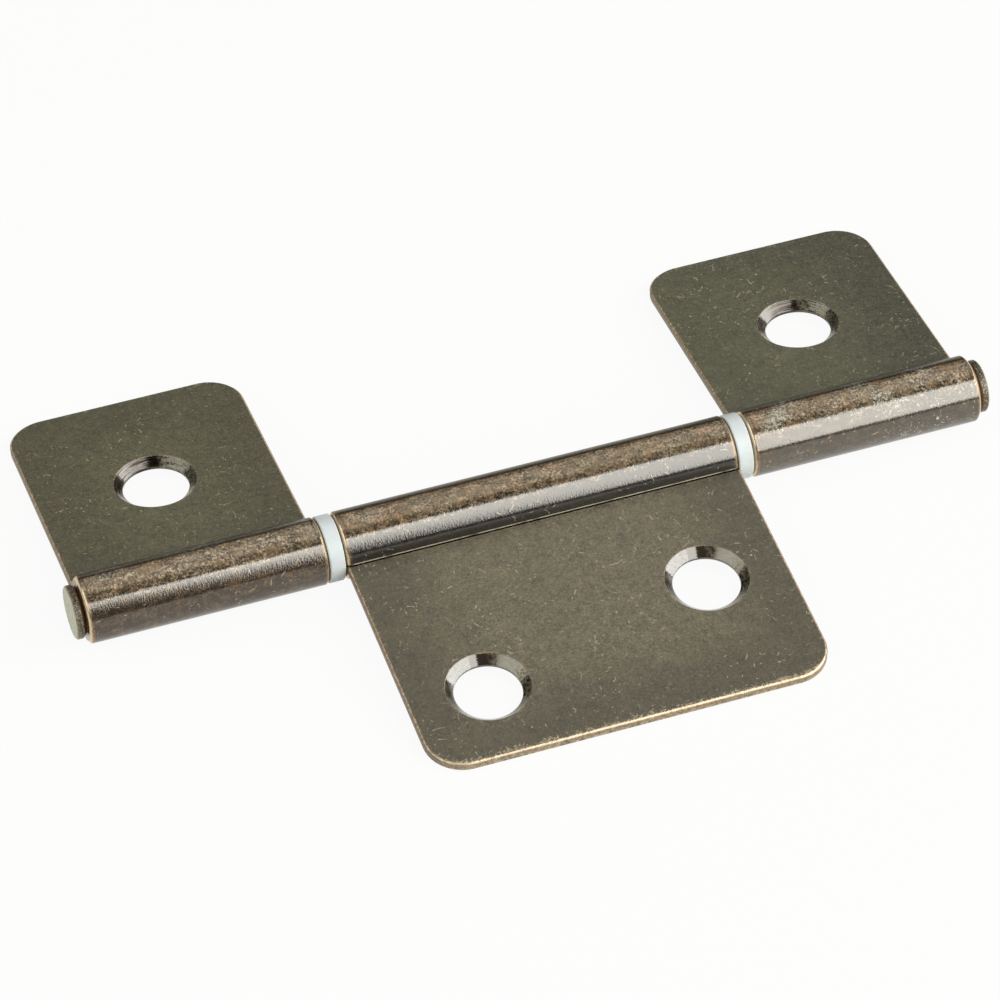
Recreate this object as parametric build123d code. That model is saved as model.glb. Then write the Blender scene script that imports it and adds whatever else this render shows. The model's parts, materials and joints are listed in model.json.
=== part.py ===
from build123d import *
from math import asin, atan2, cos, degrees, hypot, radians, sin, sqrt, tan
import os

# A three-leaf non-mortise hinge, in millimetres. X runs along the pin, the two outer leaves
# reach towards +Y, the centre leaf towards -Y, and Z is up. The origin is on the pin's axis at
# mid length. The hinge lies open with every leaf's free edge on the same table as the barrel.

# Sheet and leaves
SHEET = 0.9
LEAF_REACH = 24.9
CORNER_R = 3.2
EDGE_BREAK = 0.2
BARREL_LENGTH = 76.2
CENTRE_LENGTH = 33.5

# Rolled knuckles
REVERSE_BEND_R = 0.45
SEAM_GAP = 0.05
KNUCKLE_CHAMFER = 0.28

# Pin and its two heads
PIN_D = 3.7
PIN_FIT = 0.04
HEAD_D = 4.4
HEAD_RIM = 0.45
HEAD_CHAMFER = 0.12
HEAD_UNDERCUT = 0.33
HEAD_NECK = 0.03

# Nylon washers between the knuckles
WASHER_D = 5.5
WASHER_T = 1.27
WASHER_CHAMFER = 0.08
WASHER_SEAT = 0.02
WASHER_PLAY = 0.10

# Countersunk screw holes, in the leaves' top faces
HOLE_D = 5.5
SINK_D = 6.9
SINK_ANGLE = 90.0
OUTER_HOLE_REACH = 13.3
NEAR_HOLE_REACH = 12.88
FAR_HOLE_REACH = 17.95
CENTRE_HOLE_SPACING = 20.2

# Sizes that follow from the ones above
HALF_SHEET = SHEET / 2
PIN_R = PIN_D / 2
BORE_R = PIN_R + PIN_FIT
KNUCKLE_R = BORE_R + SHEET
WASHER_SPACE = WASHER_SEAT + WASHER_T + WASHER_PLAY
OUTER_LENGTH = (BARREL_LENGTH - CENTRE_LENGTH) / 2 - WASHER_SPACE
BARREL_END = BARREL_LENGTH / 2
OUTER_MIDDLE = BARREL_END - OUTER_LENGTH / 2

# The leaf's mid plane runs through the pin's axis. The sheet turns down out of that plane by a
# short reverse bend, which is tangent to the roll, and goes once round the pin.
BEND_R = REVERSE_BEND_R + HALF_SHEET
ROLL_R = BORE_R + HALF_SHEET
BEND_REACH = sqrt((ROLL_R + BEND_R) ** 2 - BEND_R**2)
JOIN_ANGLE = degrees(atan2(BEND_R, BEND_REACH))
SEAM_ANGLE = degrees(asin((HALF_SHEET + SEAM_GAP) / KNUCKLE_R))

# The angle at which a leaf's lower edge touches the table that the barrel lies on.
FOOT_REACH = LEAF_REACH - EDGE_BREAK
DROOP = degrees(asin(KNUCKLE_R / hypot(FOOT_REACH, HALF_SHEET)) - atan2(HALF_SHEET, FOOT_REACH))


def polar(radius, angle):
    return (radius * cos(radians(angle)), radius * sin(radians(angle)))


def leaf_section():
    """Outline of the bent sheet: reach from the pin's axis along x, height along y."""
    bend_centre = (BEND_REACH, -BEND_R)
    bend_turn = 90 - JOIN_ANGLE
    roll_turn = 360 - JOIN_ANGLE - SEAM_ANGLE
    outline = [
        Line((LEAF_REACH, HALF_SHEET), (BEND_REACH, HALF_SHEET)),
        CenterArc(bend_centre, BEND_R + HALF_SHEET, 90, bend_turn),
        CenterArc((0, 0), BORE_R, SEAM_ANGLE, roll_turn),
        Line(polar(BORE_R, SEAM_ANGLE), polar(KNUCKLE_R, SEAM_ANGLE)),
        CenterArc((0, 0), KNUCKLE_R, SEAM_ANGLE, roll_turn),
        CenterArc(bend_centre, BEND_R - HALF_SHEET, 90, bend_turn),
        Line((BEND_REACH, -HALF_SHEET), (LEAF_REACH, -HALF_SHEET)),
        Line((LEAF_REACH, -HALF_SHEET), (LEAF_REACH, HALF_SHEET)),
    ]
    return make_face(outline)


def end_chamfers(length):
    """What is worn off the roll's two outer rims. The flat of the leaf keeps its edge."""
    inside = KNUCKLE_R - KNUCKLE_CHAMFER
    outside = KNUCKLE_R + KNUCKLE_CHAMFER
    profile = make_face(Polyline((0, inside), (2 * KNUCKLE_CHAMFER, outside), (0, outside), close=True))
    ring = revolve(profile, Axis.X, 360)
    flat_top = HALF_SHEET + SEAM_GAP
    flat_bottom = -polar(KNUCKLE_R, JOIN_ANGLE)[1]
    flat = Box(
        5 * KNUCKLE_CHAMFER, 2 * outside, flat_top - flat_bottom, align=(Align.CENTER, Align.MIN, Align.MIN)
    )
    ring -= Pos(0, 0, flat_bottom) * flat
    start = Pos(-length / 2, 0, 0) * ring
    return start + mirror(start, Plane.YZ)


def screw_hole():
    """A through hole with a countersink from the top face, on the Z axis."""
    sink_depth = (SINK_D - HOLE_D) / 2 / tan(radians(SINK_ANGLE / 2))
    hole = Cylinder(HOLE_D / 2, 4 * SHEET)
    sink = Cone(HOLE_D / 2, SINK_D / 2, sink_depth, align=(Align.CENTER, Align.CENTER, Align.MAX))
    return hole + Pos(0, 0, HALF_SHEET) * sink


def leaf(length, holes):
    """One leaf with its rolled knuckle, flat, reaching towards +Y, with holes at (x, reach)."""
    blank = extrude(Plane.YZ * leaf_section(), length)
    blank = Pos(-length / 2, 0, 0) * blank
    corners = blank.edges().filter_by(Axis.Z).group_by(Axis.Y)[-1]
    blank = fillet(corners, CORNER_R)
    flats = blank.faces().filter_by(Plane.XY).sort_by(SortBy.AREA)[-2:]
    rims = [edge for face in flats for edge in face.edges() if edge.center().Y > BEND_REACH + EDGE_BREAK]
    blank = chamfer(rims, EDGE_BREAK)
    blank -= end_chamfers(length)
    for x, reach in holes:
        blank -= Pos(x, reach, 0) * screw_hole()
    return blank


def hinge_pin():
    """The pin, turned about X, with a flat riveted head standing just off each end."""
    head_start = BARREL_END + HEAD_UNDERCUT
    rim_end = head_start + HEAD_RIM
    face = rim_end + HEAD_CHAMFER
    head_r = HEAD_D / 2
    half = make_face(Polyline(
        (0, 0), (0, PIN_R), (BARREL_END + HEAD_NECK, PIN_R), (head_start, head_r),
        (rim_end, head_r), (face, head_r - HEAD_CHAMFER), (face, 0), close=True,
    ))
    right = revolve(half, Axis.X, 360)
    return right + mirror(right, Plane.YZ)


def washer(start):
    """A plain nylon washer on the pin, from x = start towards +X."""
    ring = Cylinder(WASHER_D / 2, WASHER_T) - Cylinder(BORE_R, 2 * WASHER_T)
    rims = ring.edges().filter_by(GeomType.CIRCLE).group_by(SortBy.RADIUS)[-1]
    ring = chamfer(rims, WASHER_CHAMFER)
    return Pos(start + WASHER_T / 2, 0, 0) * Rot(0, 90, 0) * ring


def outer_leaf(side):
    blank = leaf(OUTER_LENGTH, [(0, OUTER_HOLE_REACH)])
    return Pos(side * OUTER_MIDDLE, 0, 0) * Rot(-DROOP, 0, 0) * blank


def centre_leaf():
    """The same form, turned round to reach towards -Y, with its two staggered holes."""
    half_spacing = CENTRE_HOLE_SPACING / 2
    blank = leaf(CENTRE_LENGTH, [(half_spacing, FAR_HOLE_REACH), (-half_spacing, NEAR_HOLE_REACH)])
    return Rot(DROOP, 0, 0) * Rot(0, 0, 180) * blank


centre_start = -CENTRE_LENGTH / 2
centre_end = CENTRE_LENGTH / 2
parts = {
    "center_leaf": centre_leaf(),
    "left_leaf": outer_leaf(-1),
    "right_leaf": outer_leaf(1),
    "hinge_pin": hinge_pin(),
    "left_washer": washer(centre_start - WASHER_PLAY - WASHER_T),
    "right_washer": washer(centre_end + WASHER_SEAT),
}

os.makedirs("parts", exist_ok=True)
for name, solid in parts.items():
    export_step(solid, f"parts/{name}.step")
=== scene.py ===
import json
import math

import bpy
from mathutils import Matrix, Vector

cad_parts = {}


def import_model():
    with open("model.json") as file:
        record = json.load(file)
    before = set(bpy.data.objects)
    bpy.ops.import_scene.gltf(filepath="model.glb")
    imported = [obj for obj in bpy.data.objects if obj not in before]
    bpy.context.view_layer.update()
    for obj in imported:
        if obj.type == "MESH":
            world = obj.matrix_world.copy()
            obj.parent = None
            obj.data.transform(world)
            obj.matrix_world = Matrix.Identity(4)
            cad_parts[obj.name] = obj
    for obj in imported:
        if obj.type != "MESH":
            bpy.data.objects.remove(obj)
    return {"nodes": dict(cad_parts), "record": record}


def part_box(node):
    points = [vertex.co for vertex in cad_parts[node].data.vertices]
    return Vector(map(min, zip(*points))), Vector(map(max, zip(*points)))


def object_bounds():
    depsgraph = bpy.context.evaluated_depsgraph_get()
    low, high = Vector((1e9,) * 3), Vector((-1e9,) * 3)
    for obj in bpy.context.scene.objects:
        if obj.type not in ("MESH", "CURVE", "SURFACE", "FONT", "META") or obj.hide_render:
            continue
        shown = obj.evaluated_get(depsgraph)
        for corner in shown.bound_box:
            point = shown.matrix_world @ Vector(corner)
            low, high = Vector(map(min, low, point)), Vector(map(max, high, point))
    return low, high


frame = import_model()
cad_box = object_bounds()

# The looks of a three-leaf non-mortise hinge in antique bronze: a dark lacquered patina, rubbed
# through to copper on its edges and barrel, with two plain nylon washers. Everything in the
# materials is in millimetres, in the frame of the part; the scene itself is in metres.
MM = 0.001

# Camera
CAMERA_AZIMUTH = -18.052
CAMERA_ELEVATION = 43.302
CAMERA_ROLL = -1.45
CAMERA_DISTANCE = 427.209 * MM
CAMERA_ASIDE = -2.762 * MM
CAMERA_ABOVE = -0.259 * MM
CLIP_START = 10 * MM
SENSOR = 36.0
LENS = 189.98

# Studio. Each lamp's radiance is how bright it looks, where 1 is white.
FLOOR_SIZE = 3.0
FLOOR_GAP = 0.01 * MM
FLOOR_COLOUR = (0.69, 0.665, 0.61, 1.0)
SHOWN_WHITE = 0.93
WHITE = (1, 1, 1, 1)
WORLD_LEVEL = 0.08
LAMP_DISTANCE = 0.6
LAMPS = {
    "key": {
        "azimuth": 52, "elevation": 38.8, "size": (1.1, 0.66), "radiance": 4.25, "roll": -18.9,
        "aside": (0.165, -0.125),
    },
    "top": {"azimuth": 185, "elevation": 62, "size": (0.9, 0.6), "radiance": 0.45},
    "fill": {"azimuth": -82, "elevation": 32, "size": (0.86, 0.38), "radiance": 2.3, "aside": (-0.03, 0.0)},
}

# Sizes of the hinge that the materials follow
CORNER_R = 3.2
SINK_R = 3.45
UNDER_FACE = -0.45
SEAM_MIDDLE = 0.52
EDGE_BREAK = 0.2
KNUCKLE_CHAMFER = 0.28
HEAD_START = 0.33

# What the surfaces have in common, on the Principled shader's own scales
LEAF_ROUGHNESS = 0.46
BARREL_SMOOTHER = 0.37
CONE_SMOOTHER = 0.38
LEAF_IOR = 2.15
PIN_ROUGHNESS = 0.36
PIN_METALLIC = 0.4
PIN_IOR = 1.8
NYLON_ROUGHNESS = 0.38
NYLON_SUBSURFACE = 0.25


def srgb(red, green, blue):
    """A colour given as it shows on a screen, 0 to 255, as the linear one that shaders use."""
    linear = []
    for value in (red, green, blue):
        share = value / 255
        linear.append(share / 12.92 if share <= 0.04045 else ((share + 0.055) / 1.055) ** 2.4)
    return (*linear, 1.0)


# Colours, as they show on a screen
WORN_TAN = srgb(158, 132, 98)
WORN_CREAM = srgb(206, 188, 156)
WORN_BROWN = srgb(100, 80, 56)
BARREL_BACK_DARK_REFLECTION = srgb(48, 38, 25)
BARREL_PIT_AND_SHADE = srgb(50, 39, 27)
BARREL_BROWN = srgb(90, 72, 49)
BARREL_OLIVE = srgb(139, 125, 97)
COPPER = srgb(138, 102, 68)
FLECK_TAN = srgb(196, 178, 150)
FLECK_GREY = srgb(186, 183, 170)
SCRATCH = srgb(204, 190, 160)
SEAM_HIGHLIGHT = srgb(206, 200, 182)
CONE_BROWN = srgb(44, 33, 23)
CONE_OLIVE = srgb(132, 130, 108)
CONE_KEY_REFLECTION = srgb(140, 140, 138)
END_FACE_FILL_LIGHT = srgb(142, 106, 68)
HEAD_FACE = srgb(192, 194, 168)
HEAD_OLIVE = srgb(146, 146, 116)
HEAD_SIDE = srgb(54, 44, 29)
HEAD_RIM = srgb(168, 156, 122)
HEAD_GAP_FILL_LIGHT = srgb(110, 84, 56)
NYLON = srgb(190, 199, 197)
NYLON_PALE = srgb(206, 212, 210)
LACQUER_TINT = (1.0, 0.97, 0.89, 1.0)


class Signal:
    """A number that a node puts out. Arithmetic on it adds Math nodes."""

    def __init__(self, shader, socket):
        self.shader = shader
        self.socket = socket

    def math(self, operation, *others):
        node = self.shader.node("ShaderNodeMath", operation=operation)
        for place, value in zip(node.inputs, (self, *others)):
            self.shader.feed(place, value)
        return Signal(self.shader, node.outputs[0])

    def __add__(self, other):
        return self.math("ADD", other)

    def __sub__(self, other):
        return self.math("SUBTRACT", other)

    def __mul__(self, other):
        return self.math("MULTIPLY", other)

    __radd__ = __add__
    __rmul__ = __mul__

    def __rsub__(self, other):
        return (self * -1.0) + other

    def __truediv__(self, other):
        return self.math("DIVIDE", other)

    def __pow__(self, other):
        return self.math("POWER", other)

    def __abs__(self):
        return self.math("ABSOLUTE")

    def root(self):
        return self.math("SQRT")

    def most(self, other):
        return self.math("MAXIMUM", other)

    def least(self, other):
        return self.math("MINIMUM", other)

    def ramp(self, start, end):
        """0 up to start and 1 from end, or the other way round, with a smooth change between."""
        inputs = {"Value": self, "From Min": start, "From Max": end}
        node = self.shader.node("ShaderNodeMapRange", inputs, interpolation_type="SMOOTHSTEP")
        return Signal(self.shader, node.outputs["Result"])


class Shader:
    """A material's node tree, with short calls for the nodes that the finishes use."""

    def __init__(self, name):
        self.material = bpy.data.materials.new(name)
        self.material.use_nodes = True
        self.tree = self.material.node_tree
        self.bsdf = self.tree.nodes["Principled BSDF"]

    def feed(self, place, value):
        if isinstance(value, Signal):
            self.tree.links.new(value.socket, place)
        else:
            place.default_value = value

    def node(self, kind, inputs=None, **settings):
        made = self.tree.nodes.new(kind)
        for key, value in settings.items():
            setattr(made, key, value)
        for key, value in (inputs or {}).items():
            self.feed(made.inputs[key], value)
        return made

    def point(self):
        """The place on the hinge, in millimetres. It stays with the piece when the piece moves."""
        place = Signal(self, self.node("ShaderNodeTexCoord").outputs["Object"])
        return self.scaled(place, (1 / MM, 1 / MM, 1 / MM))

    def scaled(self, vector, factors):
        node = self.node("ShaderNodeVectorMath", {0: vector, 1: factors}, operation="MULTIPLY")
        return Signal(self, node.outputs[0])

    def moved(self, vector, offset):
        node = self.node("ShaderNodeVectorMath", {0: vector, 1: offset}, operation="ADD")
        return Signal(self, node.outputs[0])

    def split(self, vector):
        node = self.node("ShaderNodeSeparateXYZ", {0: vector})
        return [Signal(self, place) for place in node.outputs]

    def joined(self, x, y, z):
        return Signal(self, self.node("ShaderNodeCombineXYZ", {0: x, 1: y, 2: z}).outputs[0])

    def noise(self, vector, scale, detail=2.0, roughness=0.5):
        inputs = {"Vector": vector, "Scale": scale, "Detail": detail, "Roughness": roughness}
        return Signal(self, self.node("ShaderNodeTexNoise", inputs).outputs[0])

    def cells(self, vector, scale, dimensions="3D"):
        """A pattern of scattered points: the distance to the nearest one, its three random numbers
        and its place."""
        inputs = {"Vector": vector, "Scale": scale}
        node = self.node("ShaderNodeTexVoronoi", inputs, voronoi_dimensions=dimensions)
        distance = Signal(self, node.outputs["Distance"])
        place = Signal(self, node.outputs["Position"])
        return distance, self.split(Signal(self, node.outputs["Color"])), place

    def mix(self, first, second, share):
        """Two colours, from first at 0 to second at 1."""
        node = self.node("ShaderNodeMix", {0: share, 6: first, 7: second}, data_type="RGBA")
        return Signal(self, node.outputs[2])

    def bump(self, height):
        """A normal from a height in millimetres."""
        inputs = {"Height": height, "Distance": MM}
        return Signal(self, self.node("ShaderNodeBump", inputs).outputs["Normal"])

    def finish(self, **inputs):
        """Sets the surface's own sockets. An underscore in a name stands for a space."""
        for key, value in inputs.items():
            self.feed(self.bsdf.inputs[key.replace("_", " ")], value)
        return self.material


class LeafPlan:
    """Where one leaf's plane, ends, outline and holes are, in millimetres, from the frame."""

    def __init__(self, name):
        self.name = name
        low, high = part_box(name)
        start = low.x / MM
        end = high.x / MM
        self.middle = (start + end) / 2
        self.length = end - start
        self.knuckle_r = high.z / MM
        side = name.split("_")[0]
        bores = [mount for mount in frame["record"]["mounts"] if mount["kind"] == "bore"]
        bores = [mount for mount in bores if mount["name"].startswith(side)]
        self.up = Vector(bores[0]["axis"])
        self.out = self.up.cross(Vector((math.copysign(1, self.up.y), 0, 0)))
        corners = [vertex.co / MM for vertex in frame["nodes"][name].data.vertices]
        self.reach = max(corner.dot(self.out) for corner in corners)
        self.holes = [
            (mount["pos_m"][0] / MM, Vector(mount["pos_m"]).dot(self.out) / MM) for mount in bores
        ]


class Place:
    """Where a shaded point is on its leaf. Lengths are in millimetres, and barrel and cone are 1 on
    the knuckle and on a countersink, and 0 elsewhere."""

    def __init__(self, s, plan):
        self.point = s.point()
        self.x, self.y, self.z = s.split(self.point)
        self.reach = self.y * plan.out.y + self.z * plan.out.z
        self.height = self.y * plan.up.y + self.z * plan.up.z
        self.radius = (self.y * self.y + self.z * self.z).root()
        self.arc = self.z.math("ARCTAN2", self.y) * plan.knuckle_r
        self.arc_point = s.joined(self.x, self.arc, self.radius)
        self.edge = outline_distance(self.x, self.reach, plan)
        self.rim_gap = plan.length / 2 - abs(self.x - plan.middle)
        self.hole = hole_distance(self.x, self.reach, plan)
        self.beside, self.ahead = from_hole(self.x, self.reach, plan)
        self.left_side = self.beside.ramp(-0.45, -0.6) * self.beside.ramp(-3.0, -2.6)
        self.barrel = self.radius.ramp(plan.knuckle_r + 0.1, plan.knuckle_r + 0.04)
        above_under_face = self.height.ramp(UNDER_FACE + 0.01, UNDER_FACE + 0.05)
        self.cone = self.hole.ramp(SINK_R - 0.02, SINK_R - 0.07) * above_under_face
        self.patch = s.noise(self.point, 0.8, 3.0, 0.6)
        self.rub = s.noise(s.moved(self.point, (2.0, 4.0, 6.0)), 3.4, 4.0, 0.8)
        self.rings = s.noise(s.joined(self.hole * 8.0, self.x * 0.5, self.reach * 0.5), 1.0, 2.0) - 0.5
        self.speckled = self.cone * self.beside.ramp(0.85, 1.3) * self.rub.ramp(0.4, 0.56)


def outline_distance(x, reach, plan):
    """How far a place on the leaf is outside its outline; inside it is negative."""
    across = abs(x - plan.middle) - (plan.length / 2 - CORNER_R)
    along = reach - (plan.reach - CORNER_R)
    outside = (across.most(0.0) ** 2.0 + along.most(0.0) ** 2.0).root()
    return outside + across.most(along).least(0.0) - CORNER_R


def hole_distance(x, reach, plan):
    """How far a place on the leaf is from the axis of the nearest hole."""
    nearest = None
    for hole_x, hole_reach in plan.holes:
        distance = ((x - hole_x) ** 2.0 + (reach - hole_reach) ** 2.0).root()
        nearest = distance if nearest is None else nearest.least(distance)
    return nearest


def from_hole(x, reach, plan):
    """How far a place is towards +X, and towards -Y, from the hole that is nearest to it along X."""
    holes = sorted(plan.holes)
    beside = x - holes[0][0]
    ahead = reach - holes[0][1]
    for before, after in zip(holes, holes[1:]):
        middle = (before[0] + after[0]) / 2
        past = x.ramp(middle - 0.1, middle + 0.1)
        beside = beside - past * (after[0] - before[0])
        ahead = ahead - past * (after[1] - before[1])
    return beside, ahead * -math.copysign(1, plan.out.y)


class Patina:
    """What differs from leaf to leaf: the flat's colours and, from 0 to 1, how much it is rubbed at
    the front edge, flecked and greyed on the knuckle, dull under the knuckle's highlight, paler
    towards its left end, and turned with fine rings in its countersinks."""

    def __init__(self, middle, rim, low, worn, flecked, greyed, dull, lean=0.0, turned=0.0):
        self.middle = middle
        self.rim = rim
        self.low = low
        self.worn = worn
        self.flecked = flecked
        self.greyed = greyed
        self.dull = dull
        self.lean = lean
        self.turned = turned


# The centre leaf's flat is lighter than the outer leaves', and its knuckle's lower side darker, partly as
# their own patina and partly as painted light: sheen from its tilt towards the lamps, and shade from its own
# leaf just under its knuckle.
PATINAS = {
    "center_leaf": Patina(
        srgb(93, 85, 62), srgb(68, 62, 41), srgb(20, 16, 11), worn=1.0, flecked=0.7, greyed=0.1, dull=0.36,
    ),
    "left_leaf": Patina(
        srgb(84, 81, 54), srgb(73, 69, 45), srgb(44, 34, 23), worn=0.4, flecked=1.0, greyed=0.4, dull=0.34,
        turned=1.0,
    ),
    "right_leaf": Patina(
        srgb(81, 80, 56), srgb(70, 69, 47), srgb(48, 42, 29), worn=0.4, flecked=0.9, greyed=1.0, dull=0.08,
        lean=0.52, turned=0.8,
    ),
}


def ticks(s, across, along, cell, length, share, seed):
    """Short curved hairlines that lie every way, one to a cell in this share of the cells."""
    place = s.joined(across + seed * 13.7, along + seed * 31.1, 0.0)
    _, (chance, turn, size), middle = s.cells(place, 1 / cell, "2D")
    right, up, _ = s.split(place)
    middle_right, middle_up, _ = s.split(middle)
    right = right - middle_right
    up = up - middle_up
    angle = turn * (2 * math.pi)
    cosine = angle.math("COSINE")
    sine = angle.math("SINE")
    onward = right * cosine + up * sine
    aside = up * cosine - right * sine + (onward ** 2.0) * (size - 0.5) * (1.2 / length)
    reach = size * (length * 0.4) + length * 0.1
    line = abs(aside).ramp(0.06, 0.02) * (abs(onward) / reach).ramp(1.0, 0.6)
    return line * chance.ramp(1 - share, 1.02 - share)


def flecks(s, point, size, radius, share, seed):
    """Small ragged spots, one to a cell, in this share of the cells."""
    place = s.moved(point, (seed * 13.7, seed * 31.1, seed * 7.9))
    distance, (chance, _, _), _ = s.cells(place, 1 / size)
    ragged = distance * size + (s.noise(place, 0.6 / radius, 2.0) - 0.5) * (radius * 1.6)
    return ragged.ramp(radius, radius * 0.5) * chance.ramp(1 - share, 1.01 - share)


def flat_marks(s, at, medium):
    """The flat's hairline scratches and small flecks, which crowd together in places."""
    hairs = ticks(s, at.x, at.reach, 1.1, 0.7, 0.4, 1).most(ticks(s, at.x, at.reach, 2.1, 1.4, 0.4, 2))
    hairs = hairs.most(ticks(s, at.x, at.reach, 0.6, 0.35, 0.3, 3))
    spots = flecks(s, at.point, 0.6, 0.07, 0.22, 1).most(flecks(s, at.point, 1.9, 0.12, 0.3, 2))
    crowd = s.noise(at.point, 0.3, 2.0).ramp(0.4, 0.62) * 0.7 + 0.3
    return (hairs * medium.ramp(0.0, 0.7) * 0.5).most(spots * 0.6) * crowd


def flat_colour(s, at, plan, patina):
    """The leaf's satin patina: clouds, fine grain, a paler middle and marks, with painted shade beside the
    knuckle.
    """
    cloud = s.noise(at.point, 0.22, 3.0, 0.55)
    patch = s.noise(at.point, 0.9, 4.0, 0.65)
    fine = s.noise(at.point, 8.5, 2.0, 0.6).ramp(0.35, 0.65)
    medium = s.noise(at.point, 3.2, 3.0, 0.7).ramp(0.35, 0.65)
    colour = s.mix(patina.rim, patina.middle, at.edge.ramp(-1.0, -9.5) + (cloud - 0.5) * 0.8)
    lean = (plan.middle - at.x) * (patina.lean / plan.length)
    level = (fine - 0.5) * 0.7 + (medium - 0.5) * 0.46 + (patch - 0.5) * 1.1 + (lean + 1.0)
    # Painted shade: the flat is darkened in a band beside the knuckle, where the knuckle shades it.
    shade_beside_knuckle = at.reach.ramp(4.4, 2.9)
    level = level - shade_beside_knuckle * 0.12
    colour = s.scaled(colour, s.joined(level, level, level))
    return s.mix(colour, SCRATCH, flat_marks(s, at, medium))


class Grain:
    """The knuckle's patterns, which run along its arc: fine grain, blotches and broad patches."""

    def __init__(self, s, at):
        self.fine = s.noise(s.scaled(at.arc_point, (5.2, 4.6, 1.0)), 1.0, 4.0, 0.75).ramp(0.36, 0.64)
        self.blotch = s.noise(s.scaled(at.arc_point, (1.0, 1.7, 1.0)), 1.0, 5.0, 0.72)
        self.broad = s.noise(at.point, 0.45, 2.0, 0.5) - 0.5
        self.shade = self.fine * 0.5 + self.blotch.ramp(0.36, 0.64) * 0.5


def rubbed_lacquer(s, at, grain, patina):
    """The knuckle's upper side, rubbed to olive, tan and copper between dark pits."""
    fine, blotch = grain.fine, grain.blotch
    colour = s.mix(BARREL_BROWN, BARREL_OLIVE, grain.shade)
    copper = (blotch + (fine - 0.5) * 0.2 + grain.broad * 0.5).ramp(0.5, 0.62)
    colour = s.mix(colour, COPPER, copper * 0.65)
    lively = s.noise(s.moved(at.point, (3.0, 8.0, 1.0)), 0.9, 3.0, 0.6).ramp(0.38, 0.62) * 0.75 + 0.3
    bright = (fine + (blotch - 0.5) * 2.2).ramp(0.72, 1.0) * lively * patina.flecked
    colour = s.mix(colour, FLECK_TAN, bright)
    pits = (fine + (blotch - 0.5) * 2.0).ramp(0.38, 0.02) * lively
    colour = s.mix(colour, BARREL_PIT_AND_SHADE, pits * 0.9)
    return s.mix(colour, BARREL_PIT_AND_SHADE, at.y.ramp(-0.9, -1.35) * 0.4)


def low_lacquer(s, grain, patina):
    """The knuckle's sides, where the lacquer is whole, with some brown and copper showing."""
    blotchy = patina.flecked - 0.65
    colour = s.mix(patina.low, BARREL_BROWN, grain.shade.ramp(0.3, 0.85) * blotchy * 2.4)
    copper = (grain.blotch + grain.broad * 0.6).ramp(0.5, 0.66) * grain.fine
    return s.mix(colour, COPPER, copper * blotchy * 0.5)


def grey_flecks(s, at, upper, grain, patina):
    """Pale grey scale on the knuckle's upper side, and all round it at the hinge's right end."""
    cluster = s.noise(s.moved(at.point, (5.0, 9.0, 2.0)), 4.2, 5.0, 0.8)
    cluster = cluster + (s.noise(at.point, 0.4, 2.0) - 0.5) * 0.6
    scale = (cluster + upper * 0.02 + (grain.fine - 0.5) * 0.12).ramp(0.6, 0.68)
    specks = flecks(s, at.point, 0.7, 0.09, 0.35, 5).most(flecks(s, at.point, 1.2, 0.17, 0.3, 6))
    where = upper.most(at.x.ramp(26.0, 34.0)).most(0.12)
    return scale.most(specks) * patina.greyed * where


def barrel_colour(s, at, patina):
    """The knuckle's dark brown lacquer, rubbed on its upper side, with hairlines, grey flecks and a painted
    dark reflection along its back.
    """
    grain = Grain(s, at)
    upper = (at.z + (grain.blotch - 0.5) * 1.2 + (grain.fine - 0.5) * 0.3).ramp(2.0, 2.5)
    colour = s.mix(low_lacquer(s, grain, patina), rubbed_lacquer(s, at, grain, patina), upper)
    hairs = ticks(s, at.x, at.arc, 1.3, 0.9, 0.35, 7).most(ticks(s, at.x, at.arc, 0.7, 0.4, 0.3, 8))
    colour = s.mix(colour, FLECK_TAN, hairs * (grain.fine * 0.5 + 0.1))
    # Painted dark reflection: the back of the knuckle, towards +Y, is darkened in place of the dark grazing
    # reflection along its upper silhouette.
    colour = s.mix(colour, BARREL_BACK_DARK_REFLECTION, at.y.ramp(0.45, 0.9) * 0.85)
    return s.mix(colour, FLECK_GREY, grey_flecks(s, at, upper, grain, patina) * 0.8)


def cone_colour(s, colour, at, patina):
    """The countersinks' dark lacquer, speckled olive on the right, with a painted reflection of the key lamp
    on the left, chiefly on the centre leaf.
    """
    colour = s.mix(colour, CONE_BROWN, at.cone)
    colour = s.mix(colour, CONE_OLIVE, at.speckled * 0.6)
    # Painted reflection: a pale patch, mottled by the rub noise, on the left side of each countersink, where
    # the key lamp's reflection falls.
    pale = at.left_side * (1.0 - patina.turned)
    return s.mix(colour, CONE_KEY_REFLECTION, at.cone * pale * (at.rub.ramp(0.3, 0.6) * 0.45 + 0.1))


def knuckle_ends(s, colour, at, plan):
    """The knuckle's end faces, lightened as painted fill light where the pin's heads shade them, a painted
    highlight along the open seam, and a painted shade ring inside each end's worn rim.
    """
    outer = at.radius.ramp(plan.knuckle_r - 0.36, plan.knuckle_r - 0.28)
    end_face = at.rim_gap.ramp(0.03, 0.01) * at.barrel * (1.0 - outer)
    # Painted fill light: the end faces get a lighter brown, so that the shade from the pin's head shows brown
    # rather than black.
    colour = s.mix(colour, END_FACE_FILL_LIGHT, end_face)
    # Painted highlight: a pale line along the open seam, where light glints on the sheet's sheared edge.
    seam = abs(at.height - SEAM_MIDDLE).ramp(0.1, 0.06) * at.reach.ramp(1.0, 1.5)
    seam = seam * abs(at.radius - plan.knuckle_r).ramp(0.08, 0.06)
    colour = s.mix(colour, SEAM_HIGHLIGHT, seam * at.patch.ramp(0.25, 0.55) * 0.8)
    # Painted shade: a dark ring on the knuckle just inside each end's worn rim.
    painted_shade_ring = abs(at.rim_gap - 0.5).ramp(0.1, 0.04) * at.barrel
    return s.mix(colour, BARREL_PIT_AND_SHADE, painted_shade_ring * 0.6), outer


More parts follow.
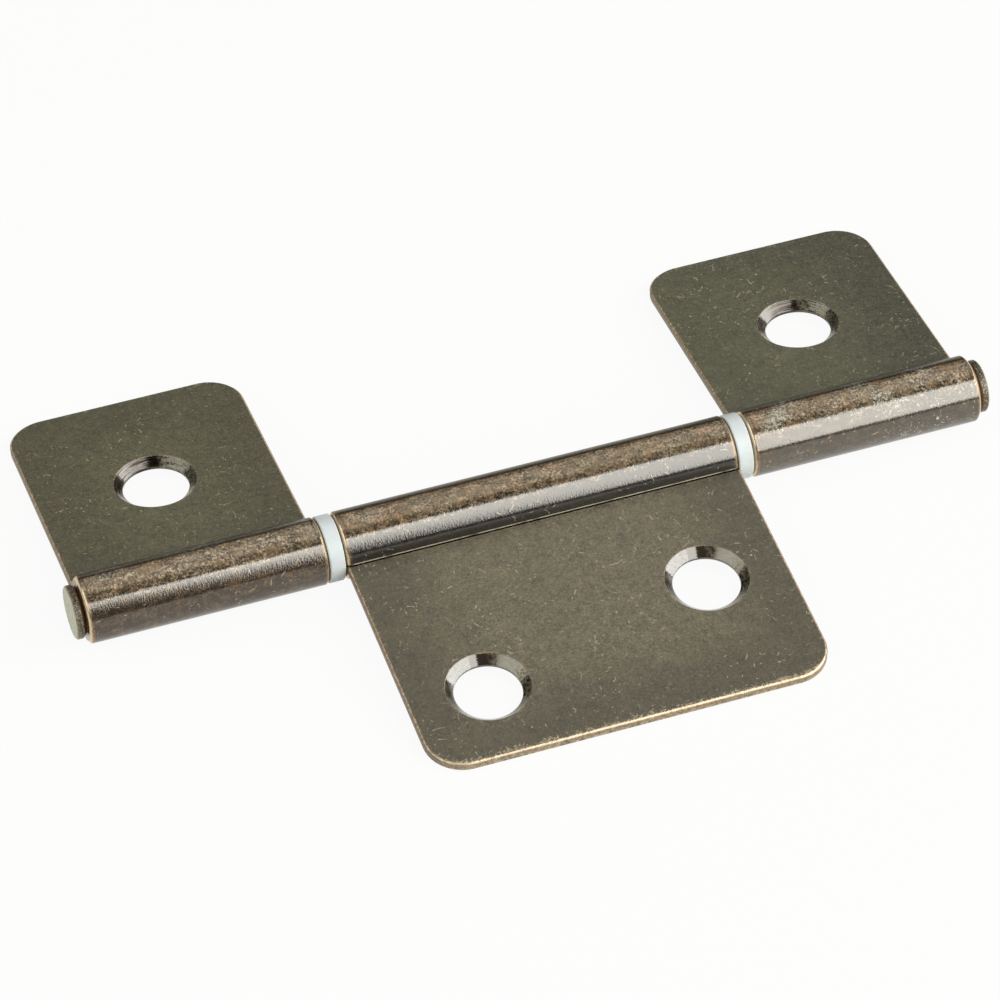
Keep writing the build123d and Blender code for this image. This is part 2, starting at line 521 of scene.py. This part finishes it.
def worn_places(at, outer, plan, patina):
    """Where the finish is worn through, at the leaf's edges, the knuckle's rims and the holes, and
    how light the metal is there."""
    front = at.reach.ramp(plan.reach - 2.0, plan.reach - 0.4) * (0.14 * patina.worn)
    speckle = at.rub + (at.patch - 0.5) * 0.5 + front
    fading = (speckle + at.edge * 0.34).ramp(0.48, 0.66) * at.edge.ramp(-1.4, -0.4) * 0.7
    line = (at.edge + (at.rub - 0.5) * 0.12).ramp(-0.2, -0.14) * at.edge.ramp(-0.02, -0.06)
    side = (at.rub + (at.patch - 0.5) * 0.4 + at.height * 0.5).ramp(0.42, 0.6)
    side = at.edge.ramp(-0.06, -0.02) * side * 0.8
    leaf_edge = fading.most(line).most(side) * at.radius.ramp(plan.knuckle_r, plan.knuckle_r + 0.1)
    rim = (at.rim_gap + (at.rub - 0.5) * 1.3).ramp(0.44, 0.24) * at.barrel * outer
    chipped = abs(at.hole - (SINK_R + 0.02)).ramp(0.14, 0.04) * (at.patch + at.rub * 0.6).ramp(0.82, 0.95)
    chipped = chipped * at.height.ramp(0.2, 0.4) * 0.5
    lightness = at.rub + front - side * 0.15 + rim * at.rim_gap.ramp(0.28, 0.1) * 0.24 + line * 0.08
    return leaf_edge.most(rim).most(chipped), lightness


def worn_colour(s, lightness):
    """Bare metal, from brown through tan to cream."""
    colour = s.mix(WORN_BROWN, WORN_TAN, lightness.ramp(0.34, 0.55))
    return s.mix(colour, WORN_CREAM, lightness.ramp(0.56, 0.72))


def rounded(outside, width):
    """A height that softens a 45 degree chamfer of this width, whose outer edge is at 0."""
    half = width / 2
    across = (outside + half).most(-half).least(half)
    return (across ** 2.0) * (-0.35 / half)


def leaf_roughness(at, patina):
    """Satin on the flat, and glossy on the knuckle and in the countersinks, with duller zones."""
    dull = at.barrel * (at.z.ramp(2.4, 2.7) * 0.07 + at.z.ramp(1.5, 0.7) * 0.08 + at.y.ramp(0.75, 1.1) * 0.22)
    dull = dull + at.speckled * 0.2 + at.cone * (patina.turned * 0.08)
    smoother = at.barrel * BARREL_SMOOTHER + at.cone * CONE_SMOOTHER
    return LEAF_ROUGHNESS - smoother + dull + (at.rub - 0.5) * 0.06


def leaf_relief(s, at, patina):
    """Fine grain, the countersinks' tool rings, and softened chamfers, as a height in millimetres."""
    hairy = s.noise(s.scaled(at.arc_point, (7.5, 3.0, 1.0)), 1.0, 2.0, 0.6) - 0.5
    relief = (at.rub - 0.5) * (0.006 - at.cone * 0.005)
    relief = relief + hairy * (0.003 + at.barrel * 0.0045 - at.cone * 0.003)
    relief = relief + at.rings * (at.cone * (0.012 + patina.turned * 0.024))
    relief = relief + rounded(at.edge, EDGE_BREAK) * (1.0 - at.barrel)
    return relief + rounded(at.rim_gap * -1.0, KNUCKLE_CHAMFER) * at.barrel


def darkened(at, patina):
    """Where a share of dark metal under the lacquer takes light out of the reflections."""
    dark = at.cone * at.beside.ramp(-1.9, -0.9) * (at.rings.ramp(0.12, -0.06) * 0.5 + 0.3) * patina.turned
    pale = at.left_side * (1.0 - patina.turned)
    near = at.cone * at.ahead.ramp(-1.7, -0.7) * (1.0 - pale) * 0.7
    dark = dark.most(at.speckled * 0.45).most(near)
    behind = at.barrel * at.y.ramp(0.55, 0.95) * 0.72
    below = at.barrel * at.z.ramp(1.3, 0.9) * patina.dull
    return dark.most(behind).most(below)


def leaf_material(plan, patina):
    s = Shader(plan.name + "_finish")
    at = Place(s, plan)
    colour = flat_colour(s, at, plan, patina)
    colour = s.mix(colour, barrel_colour(s, at, patina), at.barrel)
    colour = cone_colour(s, colour, at, patina)
    colour, outer = knuckle_ends(s, colour, at, plan)
    worn, lightness = worn_places(at, outer, plan, patina)
    colour = s.mix(colour, worn_colour(s, lightness), worn)
    return s.finish(
        Base_Color=colour,
        Metallic=worn * 0.4 + darkened(at, patina) + 0.1,
        Roughness=leaf_roughness(at, patina),
        Normal=s.bump(leaf_relief(s, at, patina)),
        IOR=LEAF_IOR,
        Specular_Tint=LACQUER_TINT,
    )


def pin_material():
    """Grey olive head faces with a dark side, a rubbed rim, and a lighter brown in the shaded gap behind each
    head as painted fill light.
    """
    s = Shader("pin_finish")
    point = s.point()
    x, y, z = s.split(point)
    head_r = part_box("hinge_pin")[1].z / MM
    past_end = abs(x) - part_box("right_leaf")[1].x / MM
    grain = s.noise(point, 4.0, 4.0, 0.7)
    radius = (y * y + z * z).root() + (grain - 0.5) * 0.3
    face = radius.ramp(head_r - 0.05, head_r - 0.2)
    rim = abs(radius - (head_r - 0.06)).ramp(0.08, 0.03) * grain.ramp(0.4, 0.55)
    side = s.mix(HEAD_SIDE, HEAD_RIM, s.noise(point, 6.5, 3.0, 0.7).ramp(0.5, 0.6) * 0.6)
    colour = s.mix(side, HEAD_FACE, face)
    colour = s.mix(colour, HEAD_OLIVE, grain.ramp(0.38, 0.6) * face)
    colour = s.mix(colour, HEAD_RIM, rim * past_end.ramp(0.5, 0.8))
    # Painted fill light: the pin's neck in the gap behind each head is a lighter brown, so that the gap's
    # shade shows brown rather than black.
    colour = s.mix(colour, HEAD_GAP_FILL_LIGHT, past_end.ramp(HEAD_START + 0.03, HEAD_START - 0.03))
    return s.finish(
        Base_Color=colour,
        Metallic=PIN_METALLIC,
        Roughness=PIN_ROUGHNESS + grain * 0.1,
        Normal=s.bump(grain * 0.01),
        IOR=PIN_IOR,
    )


def washer_material():
    s = Shader("nylon_finish")
    haze = s.noise(s.point(), 0.8, 2.0, 0.5)
    return s.finish(
        Base_Color=s.mix(NYLON, NYLON_PALE, haze),
        Roughness=NYLON_ROUGHNESS,
        Subsurface_Weight=NYLON_SUBSURFACE,
        Subsurface_Scale=0.8 * MM,
    )


def paint(name, material):
    slots = frame["nodes"][name].data.materials
    slots.clear()
    slots.append(material)


def direction(azimuth, elevation):
    """A unit vector this way from the hinge. Azimuth 0 is in front, towards -Y, and 90 towards +X."""
    a = math.radians(azimuth)
    e = math.radians(elevation)
    return Vector((math.sin(a) * math.cos(e), -math.cos(a) * math.cos(e), math.sin(e)))


def floor():
    """A plain pale floor under the hinge. It shows its own white to the camera and to reflections,
    and keeps the shadow."""
    height = cad_box[0].z - FLOOR_GAP
    bpy.ops.mesh.primitive_plane_add(size=FLOOR_SIZE, location=(0, 0, height))
    plane = bpy.context.object
    plane.name = "floor"
    s = Shader("floor_white")
    s.finish(Base_Color=FLOOR_COLOUR, Roughness=0.9, Specular_IOR_Level=0.0)
    white = s.node("ShaderNodeEmission", {"Color": WHITE, "Strength": 1.0})
    path = s.node("ShaderNodeLightPath")
    camera_ray, glossy_ray, transmission_ray = [
        Signal(s, path.outputs[key]) for key in ("Is Camera Ray", "Is Glossy Ray", "Is Transmission Ray")
    ]
    seen = camera_ray.most(glossy_ray).most(transmission_ray) * SHOWN_WHITE
    both = s.node("ShaderNodeMixShader", {0: seen})
    output = s.tree.nodes["Material Output"]
    s.tree.links.new(s.bsdf.outputs[0], both.inputs[1])
    s.tree.links.new(white.outputs[0], both.inputs[2])
    s.tree.links.new(both.outputs[0], output.inputs["Surface"])
    plane.data.materials.append(s.material)


def softbox(name, azimuth, elevation, size, radiance, roll=0.0, aside=(0.0, 0.0)):
    """A rectangular soft light square to this direction from the hinge. Aside moves it within its
    own plane."""
    back = direction(azimuth, elevation)
    turn = back.to_track_quat("Z", "Y").to_matrix() @ Matrix.Rotation(math.radians(roll), 3, "Z")
    place = back * LAMP_DISTANCE + turn @ Vector((*aside, 0))
    data = bpy.data.lights.new(name, "AREA")
    data.shape = "RECTANGLE"
    data.size, data.size_y = size
    data.energy = radiance * math.pi * size[0] * size[1]
    lamp = bpy.data.objects.new(name, data)
    bpy.context.scene.collection.objects.link(lamp)
    lamp.matrix_world = Matrix.Translation(place) @ turn.to_4x4()
    lamp.visible_camera = False


def world():
    """A dim room that shows as white to the camera. The barrel's dark bands reflect the dim room."""
    made = bpy.data.worlds.new("studio")
    made.use_nodes = True
    tree = made.node_tree
    background = tree.nodes["Background"]
    path = tree.nodes.new("ShaderNodeLightPath")
    level = tree.nodes.new("ShaderNodeMapRange")
    level.inputs["To Min"].default_value = WORLD_LEVEL
    level.inputs["To Max"].default_value = 1.0
    tree.links.new(path.outputs["Is Camera Ray"], level.inputs["Value"])
    tree.links.new(level.outputs[0], background.inputs["Strength"])
    background.inputs["Color"].default_value = WHITE
    bpy.context.scene.world = made


def camera():
    back = direction(CAMERA_AZIMUTH, CAMERA_ELEVATION)
    azimuth = math.radians(CAMERA_AZIMUTH)
    right = Vector((math.cos(azimuth), math.sin(azimuth), 0))
    up = back.cross(right)
    roll = Matrix.Rotation(math.radians(CAMERA_ROLL), 3, back)
    right, up = roll @ right, roll @ up
    place = back * CAMERA_DISTANCE + right * CAMERA_ASIDE + up * CAMERA_ABOVE
    data = bpy.data.cameras.new("camera")
    data.sensor_width = SENSOR
    data.lens = LENS
    data.clip_start = CLIP_START
    made = bpy.data.objects.new("camera", data)
    bpy.context.scene.collection.objects.link(made)
    turn = Matrix((right, up, back)).transposed().to_4x4()
    made.matrix_world = Matrix.Translation(place) @ turn
    bpy.context.scene.camera = made


for leaf, patina in PATINAS.items():
    paint(leaf, leaf_material(LeafPlan(leaf), patina))
paint("hinge_pin", pin_material())
nylon = washer_material()
paint("left_washer", nylon)
paint("right_washer", nylon)

floor()
for lamp_name, settings in LAMPS.items():
    softbox(lamp_name, **settings)
world()
camera()
bpy.context.scene.view_settings.view_transform = "Standard"
